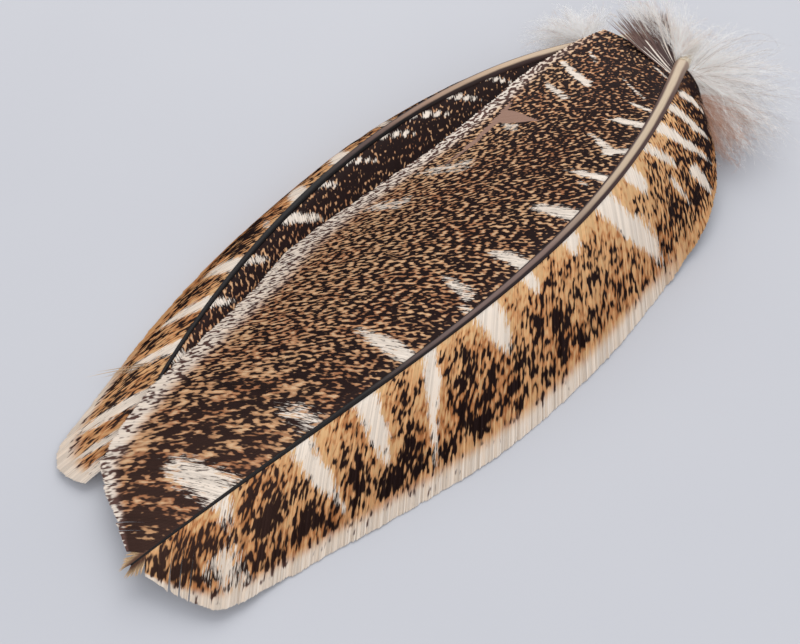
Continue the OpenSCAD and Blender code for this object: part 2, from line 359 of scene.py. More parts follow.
@dataclass(frozen=True)
class StrandFinish:
    """Loose barbs: each runs from its root colour to its tip colour, with its own lightness."""

    name: str
    root: Colour
    tip: Colour
    fade_from: float = 6.0
    fade_to: float = 30.0

    def make(self) -> bpy.types.Material:
        """Builds the material.

        Returns:
            A material that reads the strand map and the value cream.
        """
        recipe = Recipe(self.name)
        across, along_barb = recipe.map_axes()
        own = recipe.random(recipe.math("FLOOR", across))
        fibre = recipe.noise(recipe.vector(across * 3, along_barb / 3), 2.0, 0.6)
        uneven = along_barb + (fibre - 0.5) * 0.2 * self.fade_to
        faded = recipe.smooth(uneven, self.fade_from, self.fade_to)
        colour = recipe.mix(faded, self.root, self.tip)
        pale = recipe.smooth(recipe.value("cream") + (fibre - 0.5) * 0.5, 0.4, 0.6)
        colour = recipe.mix(pale, colour, CREAM)
        recipe.set(Base_Color=recipe.shade(colour, 0.75 + 0.5 * own), Roughness=0.6 + 0.15 * fibre)
        recipe.set(Specular_IOR_Level=0.3)
        recipe.bump(fibre, 0.05)
        return recipe.material


@dataclass(frozen=True)
class DownFinish:
    """Down: each tone is plain, the hairs give it grain, and a faint emission paints in the light
    that would shine through it.
    """

    name: str
    colour: Colour
    painted_glow: float = 0.09

    def make(self) -> bpy.types.Material:
        """Builds the material, with every value set on the surface itself."""
        recipe = Recipe(self.name)
        recipe.set(Base_Color=self.colour, Roughness=0.85, Specular_IOR_Level=0.15)
        recipe.set(Sheen_Weight=0.25, Sheen_Roughness=0.6, Sheen_Tint=self.colour)
        # painted light: a faint emission stands in for light through the translucent down and lifts
        # it out of its hairs' shade
        recipe.set(Emission_Color=self.colour, Emission_Strength=self.painted_glow)
        return recipe.material


@dataclass(frozen=True)
class GrainFinish:
    """Barrel horn, membrane or pith: one colour, clouded and grained at its own scale."""

    name: str
    light: Colour
    deep: Colour
    cloud_mm: float
    grain_mm: float
    roughness: float
    depth_mm: float
    coat: float = 0.0

    def make(self) -> bpy.types.Material:
        """Builds the material.

        Returns:
            A material that reads Object coordinates.
        """
        recipe = Recipe(self.name)
        cloud = recipe.noise(recipe.object_place(self.cloud_mm), 2.0, 0.5)
        grain = recipe.noise(recipe.object_place(self.grain_mm), 3.0, 0.6)
        colour = recipe.mix(recipe.smooth(cloud, 0.35, 0.65), self.light, self.deep)
        recipe.set(Base_Color=recipe.shade(colour, 0.88 + 0.24 * grain),
                   Roughness=self.roughness + 0.15 * (grain - 0.5))
        recipe.set(Coat_Weight=self.coat, Coat_Roughness=0.2)
        recipe.bump(grain, self.depth_mm)
        return recipe.material


# ---- meshes ----


@dataclass
class Sheet:
    """Points, faces, map places and values of a surface, gathered before it becomes a mesh."""

    points: list[np.ndarray] = field(default_factory=list)
    faces: list[np.ndarray] = field(default_factory=list)
    places: list[np.ndarray] = field(default_factory=list)
    values: dict[str, list[np.ndarray]] = field(default_factory=dict)
    count: int = 0

    def add(self, points: np.ndarray, faces: np.ndarray, places: np.ndarray,
            **values: np.ndarray) -> None:
        """Adds one closed part.

        Args:
            points: (n, 3) places in millimetres.
            faces: (f, 3) or (f, 4) point numbers; a triangle repeats its last number.
            places: (n, 2) places on the map, in millimetres.
            values: one number to a point for each name.
        """
        self.points.append(points)
        self.faces.append(faces + self.count)
        self.places.append(places)
        for name, value in values.items():
            self.values.setdefault(name, []).append(value)
        self.count += len(points)

    def build(self, name: str, smooth: bool) -> bpy.types.Object:
        """Makes the mesh and its object.

        Args:
            name: the piece's name.
            smooth: whether its faces are shaded smooth.

        Returns:
            The object, at the origin.
        """
        points = np.concatenate(self.points) * MM
        quads = np.concatenate(self.faces)
        triangle = quads[:, 2] == quads[:, 3]
        sizes = np.where(triangle, 3, 4)
        keep = np.ones(quads.shape, bool)
        keep[triangle, 3] = False
        corners = quads[keep]
        mesh = bpy.data.meshes.new(name)
        mesh.vertices.add(len(points))
        mesh.vertices.foreach_set("co", points.ravel())
        mesh.loops.add(len(corners))
        mesh.loops.foreach_set("vertex_index", corners)
        mesh.polygons.add(len(sizes))
        mesh.polygons.foreach_set("loop_start", np.concatenate([[0], np.cumsum(sizes)[:-1]]))
        mesh.polygons.foreach_set("use_smooth", np.full(len(sizes), smooth))
        mesh.update(calc_edges=True)
        barb_map = mesh.uv_layers.new(name=BARB_MAP)
        places = np.concatenate(self.places) / MAP_UNIT
        barb_map.data.foreach_set("uv", places[corners].ravel())
        for key, value in self.values.items():
            layer = mesh.attributes.new(key, "FLOAT", "POINT")
            layer.data.foreach_set("value", np.concatenate(value))
        mesh.validate()
        made = bpy.data.objects.new(name, mesh)
        bpy.context.scene.collection.objects.link(made)
        return made


def grid_faces(rows: int, cols: int, ring: bool = False) -> np.ndarray:
    """Quads of a grid of points numbered row by row.

    Args:
        rows: rows of points.
        cols: points in a row.
        ring: whether each row closes on itself.

    Returns:
        (f, 4) point numbers; their faces look along row direction x column direction.
    """
    i = np.arange(rows - 1)[:, None]
    j = np.arange(cols if ring else cols - 1)[None, :]
    a, b = i * cols + j, i * cols + (j + 1) % cols
    return np.stack([a, a + cols, b + cols, b], -1).reshape(-1, 4)


def repeated(faces: np.ndarray, times: int, points: int) -> np.ndarray:
    """Faces of one shape, repeated for shapes that hold the given number of points each."""
    return (faces[None] + (np.arange(times) * points)[:, None, None]).reshape(-1, 4)


def tube_faces(rings: int, corners: int) -> np.ndarray:
    """Faces of a tube, closed at both ends by one face; a triangle repeats its last number."""
    first = np.arange(corners - 1, -1, -1)
    caps = np.stack([first, rings * corners - 1 - first])
    if corners == 3:
        caps = caps[:, [0, 1, 2, 2]]
    return np.concatenate([grid_faces(rings, corners, ring=True), caps])


def three_corners(axis: np.ndarray, hint: Any) -> np.ndarray:
    """Three unit arms at right angles to each axis, evenly spaced around it.

    Args:
        axis: (..., 3) unit vectors.
        hint: a direction that the first arm is at right angles to.

    Returns:
        (..., 3, 3) arms.
    """
    across = unit(np.cross(axis, hint))[..., None, :]
    above = np.cross(across, axis[..., None, :])
    a = (np.arange(3) * 2 * np.pi / 3)[:, None]
    return across * np.cos(a) + above * np.sin(a)


def stations(values: tuple[float, ...], share: np.ndarray) -> np.ndarray:
    """Smooth curve through evenly spaced stations (Catmull-Rom), read at shares of 0 to 1."""
    v = np.asarray(values, float)
    last = len(v) - 1
    x = np.clip(np.asarray(share, float), 0, 1) * last
    i = np.minimum(x.astype(int), last - 1)
    f = x - i
    a, b, c, d = v[np.maximum(i - 1, 0)], v[i], v[i + 1], v[np.minimum(i + 2, last)]
    return b + 0.5 * f * (c - a + f * (2 * a - 5 * b + 4 * c - d + f * (3 * (b - c) + d - a)))


def rise(value: np.ndarray, low: float, high: float) -> np.ndarray:
    """Smooth rise from 0 at low to 1 at high; it falls when high is below low."""
    t = np.clip((value - low) / (high - low), 0, 1)
    return t * t * (3 - 2 * t)


def unit(vectors: np.ndarray) -> np.ndarray:
    """Vectors of length 1."""
    return vectors / np.linalg.norm(vectors, axis=-1, keepdims=True)


@dataclass(frozen=True)
class CentreLine:
    """A shaft's centre line, a Bezier curve from the vane's base to the feather's tip."""

    guides: tuple[Point, ...]
    base_width: float = 5.2
    tip_width: float = 0.6
    root_lift: float = 0.15
    steps: int = 400

    @staticmethod
    def bezier(guides: np.ndarray, t: np.ndarray) -> np.ndarray:
        """Point of the curve: neighbours are blended by t until one is left."""
        level = np.repeat(guides[:, None, :], len(t), axis=1)
        while len(level) > 1:
            level = level[:-1] * (1 - t)[None, :, None] + level[1:] * t[None, :, None]
        return level[0]

    @cached_property
    def table(self) -> tuple[np.ndarray, np.ndarray]:
        """Curve parameter against length travelled."""
        t = np.linspace(0, 1, self.steps + 1)
        points = self.bezier(np.array(self.guides, float), t)
        steps = np.linalg.norm(np.diff(points, axis=0), axis=1)
        return t, np.concatenate([[0], np.cumsum(steps)])

    @property
    def length(self) -> float:
        """Length of the centre line."""
        return float(self.table[1][-1])

    def at(self, share: np.ndarray) -> tuple[np.ndarray, np.ndarray]:
        """Points and unit directions at shares of the length.

        Args:
            share: (n,) shares from 0 at the base to 1 at the tip.

        Returns:
            (n, 3) points and (n, 3) directions towards the tip.
        """
        t, travelled = self.table
        guides = np.array(self.guides, float)
        u = np.interp(share * travelled[-1], travelled, t)
        return self.bezier(guides, u), unit(self.bezier(np.diff(guides, axis=0), u))

    def width(self, share: np.ndarray) -> np.ndarray:
        """Width of the shaft at shares of the length."""
        return self.tip_width + (self.base_width - self.tip_width) * (1 - share)


# ---- webs ----


@dataclass(frozen=True)
class Bar:
    """A cream mark that crosses the barbs: it runs from one place to another, and fades at both.

    A place is (millimetres along the shaft, millimetres along the barb).
    """

    start: tuple[float, float]
    end: tuple[float, float]
    width: float
    strength: float

    def at(self, along: np.ndarray, out: np.ndarray, spread: float = 1.0) -> np.ndarray:
        """Strength of the mark: a bell across its middle line, times a rise and fall along it."""
        reach = max(self.end[1] - self.start[1], 1.0)
        share = (out - self.start[1]) / reach
        middle = self.start[0] + (self.end[0] - self.start[0]) * np.clip(share, 0, 1)
        half = self.width * spread * (1.15 - 0.45 * np.clip(share, 0, 1))
        bell = np.exp(-(((along - middle) / half) ** 2))
        return self.strength * bell * rise(share, -0.25, 0.1) * rise(share, 1.35, 0.55)


def bars_at(*rows: tuple[float, ...]) -> tuple[Bar, ...]:
    """Bars from rows of start along and out, end along and out, width and strength."""
    return tuple(Bar(row[:2], row[2:4], *row[4:]) for row in rows)


@dataclass(frozen=True)
class Split:
    """A gap where barbs have unhooked: how far up the barb it starts, and how wide it opens."""

    at: float
    opening: float
    start: float = 0.0
    spread: float = 6.0


@dataclass(frozen=True)
class BareStreak:
    """A streak without flecks, about a middle line through (along, out) that leans as it goes out.

    It is full at one place up the barb, tapers to nothing at another, and is cut off square.
    """

    along: float
    out: float
    lean: float
    half: float
    full: float
    taper: float
    cut: float

    def at(self, along: np.ndarray, out: np.ndarray) -> np.ndarray:
        """Depth inside the streak: half its width less the way to its middle line."""
        middle = self.along + self.lean * (out - self.out)
        depth = self.half * rise(out, self.taper, self.full) - np.abs(along - middle)
        return np.where((out - self.cut) * (self.taper - self.cut) > 0, depth, -1.0)


@dataclass(frozen=True)
class Pattern:
    """How a web is marked: dark share along the shaft and out to the margin, bars and margin."""

    dark: tuple[float, ...]
    dark_out: tuple[float, ...]
    coarse_from: float
    bars: tuple[Bar, ...]
    rim_from: float
    rim_after: float = 0.0
    halo: float = 0.2
    most_coarse: float = 0.75
    bare: tuple[BareStreak, ...] = ()

    def paint(self, along: np.ndarray, out: np.ndarray, share: np.ndarray,
              up_barb: np.ndarray) -> dict[str, np.ndarray]:
        """Values of the web's finish.

        Args:
            along: millimetres along the shaft.
            out: millimetres along the barb.
            share: share of the shaft's length.
            up_barb: share of the barb's length.

        Returns:
            The values dark, cream, rim, coarse and bare, each the shape of along.
        """
        dark = stations(self.dark, share) + stations(self.dark_out, up_barb)
        cream = sum((bar.at(along, out) for bar in self.bars), np.zeros_like(along))
        around = sum((bar.at(along, out, 2.2) for bar in self.bars), np.zeros_like(along))
        dark = dark + self.halo * (0.4 - np.minimum(around, 1.0)) * rise(up_barb, 1.0, 0.6)
        rim = rise(up_barb, self.rim_from, 0.98) * rise(along, self.rim_after, self.rim_after + 35)
        coarse = self.most_coarse * rise(along, self.coarse_from, self.coarse_from + 90)
        depth = np.full_like(along, -1.0)
        for streak in self.bare:
            depth = np.maximum(depth, streak.at(along, out))
        bare = rise(depth, -0.1, 0.25)
        return {"dark": dark, "cream": cream, "rim": rim, "coarse": coarse, "bare": bare}


@dataclass(frozen=True)
class Web:
    """Hooked barbs on one side of a shaft, as a closed sheet with a ridge to every barb.

    Profile, edge heights and angles are read from base to tip. The splay turns the first barbs
    back towards the barrel. The margin is uneven by barb (ragged), by group (clumped) and in the
    valley between two barbs (notch). Slow ripples and lifted groups of barbs keep the sheet from
    lying flat. The angles at base and tip give way to the middle one at their hold's rate.
    """

    line: CentreLine
    side: Side
    longest: float
    profile: tuple[float, ...]
    edge: tuple[float, ...]
    angles: tuple[float, float, float]
    bend: float
    arch: float
    pattern: Pattern
    splits: tuple[Split, ...] = ()
    splay: float = 0.0
    splay_fade: float = 18.0
    pitch: float = 0.5
    thickness: float = 0.12
    ridge: float = 0.05
    root_reach: float = 0.4
    lowest: float = 0.25
    ragged: float = 0.12
    clumped: float = 0.22
    notch: float = 0.35
    ripple: float = 0.18
    ripple_length: float = 7.0
    group_lift: float = 0.12
    round_from: float = 0.85
    root_hold: float = 8.0
    tip_hold: float = 12.0
    seed: int = 1

    def barb_length(self, share: np.ndarray) -> np.ndarray:
        """Length of a barb: the longest, times the profile, times the rounding at the tip."""
        past = np.clip(share - self.round_from, 0, None) / (1 - self.round_from)
        round_off = 1 - past**1.5
        return self.longest * stations(self.profile, share) * round_off

    def barbs(self, share: np.ndarray, up: np.ndarray, length: np.ndarray,
              turn: np.ndarray | float = 0.0) -> np.ndarray:
        """Points of barbs.

        A barb is an arc in plan: forward = L (sin(a + b u) - sin a) / b and
        sideways = L (cos a - cos(a + b u)) / b, with a its angle to the shaft, b its bend and u
        the share of its length. Its height falls from root to margin by u to the power arch.

        Args:
            share: (n,) shares of the shaft's length.
            up: (m,) shares of the barb's length.
            length: (n,) barb lengths.
            turn: degrees added to each barb's angle.

        Returns:
            (n, m, 3) points.
        """
        root, ahead = self.line.at(share)
        ahead = unit(ahead * (1, 1, 0))
        out = float(self.side) * np.stack([-ahead[:, 1], ahead[:, 0], np.zeros(len(share))], -1)
        first, middle, last = self.angles
        near_root, near_tip = np.exp(-self.root_hold * share), np.exp(-self.tip_hold * (1 - share))
        angle = middle + (first - middle) * near_root + (last - middle) * near_tip
        a = np.radians(angle + turn)[:, None]
        b = math.radians(self.bend)
        width = self.line.width(share)
        scale = length[:, None] / b
        u = up[None, :]
        forward = scale * (np.sin(a + b * u) - np.sin(a))
        sideways = scale * (np.cos(a) - np.cos(a + b * u)) + self.root_reach * width[:, None]
        low = root[:, 2] + self.line.root_lift * width
        high = np.maximum(stations(self.edge, share), self.lowest)
        height = low[:, None] + (high - low)[:, None] * u**self.arch
        points = ((root * (1, 1, 0))[:, None, :] + ahead[:, None, :] * forward[..., None]
                  + out[:, None, :] * sideways[..., None])
        points[..., 2] += height
        return points

    def panel(self, sheet: Sheet, start: float, end: float, cols: int) -> None:
        """Adds the closed sheets of one panel, cut at each split inside it.

        Args:
            sheet: the sheet that gathers the parts.
            start: share of the shaft where the panel begins.
            end: share of the shaft where it ends.
            cols: points along a barb.
        """
        length = self.line.length
        first = int(round(start * length / self.pitch))
        last = int(round(end * length / self.pitch))
        cuts = [round(split.at / self.pitch) for split in self.splits]
        bounds = [first] + [c for c in cuts if first < c < last] + [last]
        for low, high in zip(bounds[:-1], bounds[1:]):
            self.strip(sheet, low, high, cols)

    def strip(self, sheet: Sheet, low: int, high: int, cols: int) -> None:
        """Adds one closed sheet from barb number low to high, two rows to a barb.

        Rows on the barbs are ridges and rows between them are valleys. Each barb has its own
        length, and a slow wave along the shaft lifts groups of barbs together.
        """
        rng = np.random.default_rng(self.seed)
        total = int(self.line.length / self.pitch) + 4
        jitter = rng.normal(0, 1, total)
        groups = np.convolve(rng.normal(0, 1, total), np.hanning(11) / 3, "same")
        rows = np.arange(2 * (high - low) + 1)
        number = low + rows / 2
        on_ridge = rows % 2 == 1
        own = np.floor(number).astype(int)
        along = number * self.pitch
        share = along / self.line.length
        up = np.linspace(0, 1, cols) ** 0.9
        ragged = self.ragged * jitter[own] + self.clumped * groups[own]
        ragged = np.where(on_ridge, ragged, ragged - self.notch)
        barb = self.barb_length(share)
        barb = barb * (1 + ragged / np.maximum(barb, 20))
        turn = self.splay * np.exp(-(along - 8) / self.splay_fade)
        top = self.barbs(share, up, barb, turn)
        u = up[None, :]
        ahead = unit(self.line.at(share)[1] * (1, 1, 0))
        for split in self.splits:
            cut = round(split.at / self.pitch)
            sign = 1.0 if low >= cut else -1.0
            near = np.exp(-np.abs(along - cut * self.pitch) / split.spread)[:, None]
            ramp = np.clip((u - split.start) / (1 - split.start), 0, None) ** 1.2
            top += ahead[:, None, :] * (sign * split.opening / 2 * near * ramp)[..., None]
        out = barb[:, None] * u
        along, share, wide, _ = np.broadcast_arrays(along[:, None], share[:, None], u, out)
        marks = self.pattern.paint(along, out, share, wide)
        wave = self.ripple * np.sin(along / self.ripple_length + 1.2 * u)
        wave = wave + self.group_lift * groups[own][:, None]
        relief = np.where(on_ridge, self.ridge, -self.ridge)[:, None] * (1 - marks["bare"])
        top[..., 2] += wave * u * (1 - 0.6 * u) + relief * rise(u, 0.0, 0.08)
        top[..., 2] = np.maximum(top[..., 2], self.thickness + 0.03)
        n, m = out.shape
        faces = grid_faces(n, m)
        rim = np.concatenate([np.arange(m), np.arange(1, n) * m + m - 1,
                              (n - 1) * m + np.arange(m - 2, -1, -1), np.arange(n - 2, 0, -1) * m])
        after = np.roll(rim, -1)
        band = np.stack([rim, after, after + n * m, rim + n * m], -1)
        if self.side is Side.LEFT:
            faces, band = faces[:, ::-1], band[:, ::-1]
        points, places = top.reshape(-1, 3), np.stack([along, out], -1).reshape(-1, 2)
        sheet.add(np.concatenate([points, points - (0, 0, self.thickness)]),
                  np.concatenate([faces, faces[:, ::-1] + n * m, band]),
                  np.concatenate([places, places]),
                  **{key: np.tile(value.ravel(), 2) for key, value in marks.items()})


# ---- loose barbs ----


@dataclass(frozen=True)
class LooseBarbs:
    """Separate barbs, each a flat blade that tapers to a point."""

    web: Web
    start: float
    end: float
    count: int
    length: tuple[float, float]
    turn: tuple[float, float]
    width: float = 0.55
    flat: float = 0.3
    scatter: float = 3.0
    cream_share: float = 0.0
    seed: int = 3
    cols: int = 14
    lowest: float = 0.25

    def add(self, sheet: Sheet) -> None:
        """Adds every blade: a diamond section carried along its barb, closed at both ends."""
        rng = np.random.default_rng(self.seed)
        n = self.count
        share = np.linspace(self.start, self.end, n)
        order = np.linspace(0, 1, n)
        length = self.length[0] + (self.length[1] - self.length[0]) * order
        length = length * (1 + 0.09 * rng.normal(0, 1, n))
        turn = self.turn[0] + (self.turn[1] - self.turn[0]) * order
        turn = turn + self.scatter * rng.normal(0, 1, n)
        up = np.linspace(0, 1, self.cols)
        u = up[None, :]
        middle = self.web.barbs(share, up, length, turn)
        # the middle draw is spare, and keeps the choice of cream blades
        sway, _, paleness = rng.uniform(0, 6.28, n), rng.normal(0, 1, n), rng.uniform(0, 1, n)
        middle[..., 2] += 0.5 * u * u * np.sin(sway[:, None] + 4 * u)
        middle[..., 2] = np.maximum(middle[..., 2], self.lowest)
        tangent = unit(np.gradient(middle, axis=1))
        across = unit(np.cross(tangent, (0.0, 0.0, 1.0)))
        half = (self.width / 2 * np.clip(1 - u**3, 0.03, 1))[..., None]
        wide, deep = across * half, np.cross(across, tangent) * half * self.flat
        points = middle[:, :, None, :] + np.stack([wide, deep, -wide, -deep], 2)
        number = np.arange(n)[:, None, None] + np.array([0.2, 0.5, 0.8, 0.5])
        along = (length[:, None] * u)[..., None]
        places = np.stack(np.broadcast_arrays(number, along), -1).reshape(-1, 2)
        cream = np.repeat((paleness < self.cream_share).astype(float), 4 * self.cols)
        sheet.add(points.reshape(-1, 3), repeated(tube_faces(self.cols, 4), n, 4 * self.cols),
                  places, cream=cream)


# ---- shaft ----


@dataclass(frozen=True)
class Shaft:
    """The shaft: a rounded square with a groove beneath, carried along the centre line."""

    line: CentreLine
    depth: float = 0.95
    squareness: float = 2.4
    groove: float = 0.16
    groove_width: float = 0.35
    rings: int = 320
    sides: int = 28

    def sheet(self) -> Sheet:
        """Section radius: w / 2 / (|cos a|^p + |sin a|^p)^(1/p), less a bell at the underside.

        Returns:
            The closed surface, with its map as (millimetres along, 0 to TURN around).
        """
        share = np.linspace(0, 1, self.rings)
        centre, ahead = self.line.at(share)
        side = unit(np.cross(ahead, (0.0, 0.0, 1.0)))
        up = np.cross(side, ahead)
        a = np.linspace(0, 2 * np.pi, self.sides, endpoint=False)[None, :]
        c, s = np.cos(a), np.sin(a)
        p = self.squareness
        beneath = np.exp(-(((a - 1.5 * np.pi) / self.groove_width) ** 2))
        radius = self.line.width(share)[:, None] / 2 / (np.abs(c)**p + np.abs(s)**p) ** (1 / p)
        radius = radius * (1 - self.groove * beneath)
        points = (centre[:, None, :] + side[:, None, :] * (radius * c)[..., None]
                  + up[:, None, :] * (radius * s * self.depth)[..., None])
        count = self.rings * self.sides
        faces = grid_faces(self.rings, self.sides, ring=True)
        around = np.arange(self.sides)
        after = (around + 1) % self.sides
        last = count - self.sides
        butt, point = (np.full_like(around, count + end) for end in (0, 1))
        ends = [np.stack([around, after, butt, butt], -1),
                np.stack([last + after, last + around, point, point], -1)]
        along = (share * self.line.length)[:, None]
        places = np.stack(np.broadcast_arrays(along, TURN * a / (2 * np.pi)), -1).reshape(-1, 2)
        made = Sheet()
        made.add(np.concatenate([points.reshape(-1, 3), centre[:1], centre[-1:]]),
                 np.concatenate([faces, *ends]),
                 np.concatenate([places, [[0, TURN / 4], [self.line.length, TURN / 4]]]))
        return made


# ---- down ----


@dataclass(frozen=True)
class Lobe:
    """Where the ends of a group of down barbs lie: a ball, and its share of the barbs."""

    centre: Point
    radius: float
    share: float = 1.0


@dataclass(frozen=True)
class Tuft:
    """Down: curved barbs from one root, each set with fine hairs on all sides.

    Curl is how far a barb bows, crown how much its middle rises, and taper what share of its
    radius it has at the root, which falls by 1 to its end.
    """

    root: Point
    root_radius: float
    lobes: tuple[Lobe, ...]
    barbs: int
    hairs: int = 62
    hair_length: float = 2.6
    barb_radius: float = 0.05
    hair_radius: float = 0.021
    curl: float = 6.0
    crown: float = 1.5
    taper: float = 1.15
    lowest: float = 0.2
    steps: int = 9
    seed: int = 5

    def sheet(self) -> Sheet:
        """Barb path: (1 - t)^2 root + 2 t (1 - t) knee + t^2 end, a three-sided tube.

        A hair starts on a barb and leans towards its end; it is a thin closed spike.

        Returns:
            The closed surfaces of all barbs and hairs.
        """
        rng = np.random.default_rng(self.seed)
        n = self.barbs
        weights = np.array([lobe.share for lobe in self.lobes])
        which = rng.choice(len(self.lobes), n, p=weights / weights.sum())
        centres = np.array([lobe.centre for lobe in self.lobes])[which]
        radii = np.array([lobe.radius for lobe in self.lobes])[which]
        ball = unit(rng.normal(0, 1, (n, 3))) * rng.uniform(0, 1, (n, 1)) ** 0.45
        ends = centres + ball * radii[:, None]
        root = np.array(self.root) + self.root_radius * rng.normal(0, 0.5, (n, 3))
        span = np.linalg.norm(ends - root, axis=1, keepdims=True)
        bow = rng.normal(0, 1, (n, 3)) * self.curl * span / 40
        knee = (root + ends) / 2 + bow + (0, 0, self.crown)
        made = Sheet()
        self.add_barbs(made, root, knee, ends)
        self.add_hairs(made, root, knee, ends, rng)
        return made

    @staticmethod
    def path(root: np.ndarray, knee: np.ndarray, end: np.ndarray, t: np.ndarray) -> np.ndarray:
        """Points of the quadratic curves at t, whose shape is (barbs, places on a barb)."""
        t = t[..., None]
        return (1 - t) ** 2 * root[:, None] + 2 * t * (1 - t) * knee[:, None] + t * t * end[:, None]

    def add_barbs(self, made: Sheet, root: np.ndarray, knee: np.ndarray, end: np.ndarray) -> None:
        """Adds the tubes of the barbs, each tapering to its end."""
        n, k = len(root), self.steps
        t = np.repeat(np.linspace(0, 1, k)[None, :], n, 0)
        middle = self.path(root, knee, end, t)
        middle[..., 2] = np.maximum(middle[..., 2], self.lowest)
        arms = three_corners(unit(np.gradient(middle, axis=1)), (0.31, 0.2, 0.93))
        points = middle[:, :, None] + arms * (self.barb_radius * (self.taper - t))[..., None, None]
        tubes = repeated(tube_faces(k, 3), n, 3 * k)
        made.add(points.reshape(-1, 3), tubes, np.zeros((3 * k * n, 2)))

    def add_hairs(self, made: Sheet, root: np.ndarray, knee: np.ndarray, end: np.ndarray,
                  rng: np.random.Generator) -> None:
        """Adds the hairs: spikes on a three-cornered foot, longest in the middle of a barb."""
        n, h = len(root), self.hairs
        t = np.sort(rng.uniform(0.12, 1, (n, h)), axis=1)
        foot = self.path(root, knee, end, t)
        ahead = unit(self.path(root, knee, end, t + 0.01) - foot)
        spin = unit(rng.normal(0, 1, (n, h, 3)))
        side = unit(np.cross(ahead, spin))
        lean = rng.uniform(0.45, 1.0, (n, h, 1))
        swell = (0.45 + 1.1 * np.sin(np.pi * t**0.8))[..., None]
        long = self.hair_length * swell * rng.uniform(0.6, 1.25, (n, h, 1))
        tip = foot + unit(ahead + side * lean) * long
        for ends in (foot, tip):
            ends[..., 2] = np.maximum(ends[..., 2], self.lowest)
        arms = three_corners(unit(tip - foot), spin) * self.hair_radius
        points = np.concatenate([foot[:, :, None] + arms, tip[:, :, None]], 2)
        spike = np.array([[1, 0, 3, 3], [2, 1, 3, 3], [0, 2, 3, 3], [0, 1, 2, 2]])
        made.add(points.reshape(-1, 3), repeated(spike, n * h, 4), np.zeros((4 * n * h, 2)))


# ---- the two quills ----

BROAD_PROFILE = (0.32, 0.62, 0.90, 0.96, 0.86, 0.75, 0.63, 0.45, 0.33)
PLAIN = Pattern((0.5, 0.5), (0.0, 0.0), 0, (), 1.0)


@dataclass
class Quill:
    """One quill pen: its shaft, its webs, its loose barbs and its down."""

    body: Body
    line: CentreLine

    def name(self, part: str) -> str:
        """Node name of a part of this quill."""
        return f"{self.body.value.split('_')[0]}_{part}"

    def finish_piece(self, sheet: Sheet, part: str, kind: str,
                     material: bpy.types.Material, smooth: bool = True) -> None:
        """Makes a piece of a surface in place of its node, and dresses it.

        Args:
            sheet: the surface.
            part: the node's name without the quill's.
            kind: what the piece is made of, which ends its name.
            material: its finish.
            smooth: whether its faces are shaded smooth.
        """
        node = self.name(part)
        made = sheet.build(f"{node}_{kind}", smooth)
        made.data.materials.append(material)
        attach(made, self.body.value)
        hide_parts(node)
        LOG.info("%s: %d faces, on %s", made.name, len(made.data.polygons), self.body.value)

    def build_shaft(self, crest_and_highlight: Stops, flank: Stops) -> None:
        """Builds the shaft's horn, with colours along its top, partly its own and partly a painted
        highlight, and along its sides.
        """
        finish = ShaftFinish(self.name("horn"), self.line.length, crest_and_highlight, flank)
        self.finish_piece(Shaft(self.line).sheet(), "shaft", "horn", finish.make())

    def build_web(self, web: Web, part: str, slot: str, start: float, end: float, cols: int,
                  material: bpy.types.Material) -> None:
        """Builds one panel of a web in place of its node.

        Args:
            web: the web that the panel belongs to.
            part: the node's name without the quill's.
            slot: not used.
            start: share of the shaft where it begins.
            end: share of the shaft where it ends.
            cols: points along a barb.
            material: the web's finish.
        """
        sheet = Sheet()
        web.panel(sheet, start, end, cols)
        self.finish_piece(sheet, part, "barbs", material, smooth=False)

    def even_web(self, side: Side, edge: float, angle: float, bend: float, arch: float) -> Web:
        """A web whose barbs are all alike, along which loose barbs are laid."""
        return Web(self.line, side, 1.0, (1.0, 1.0), (edge,) * 2, (angle,) * 3, bend, arch, PLAIN)

    def build_loose(self, groups: tuple[LooseBarbs, ...], part: str, slot: str,
                    material: bpy.types.Material) -> None:
        """Builds groups of loose barbs in place of a node.

        Args:
            groups: the groups of blades.
            part: the node's name without the quill's.
            slot: not used.
            material: their finish.
        """
        sheet = Sheet()
        for group in groups:
            group.add(sheet)
        self.finish_piece(sheet, part, "blades", material)

    def build_down(self, part: str, tufts: dict[str, tuple[Tuft, Colour]]) -> None:
        """Builds one side's down, as a tuft and its colour for each tone's name."""
        for tone, (tuft, colour) in tufts.items():
            finish = DownFinish(self.name(f"{part}_{tone}"), colour)
            self.finish_piece(tuft.sheet(), part, tone, finish.make())


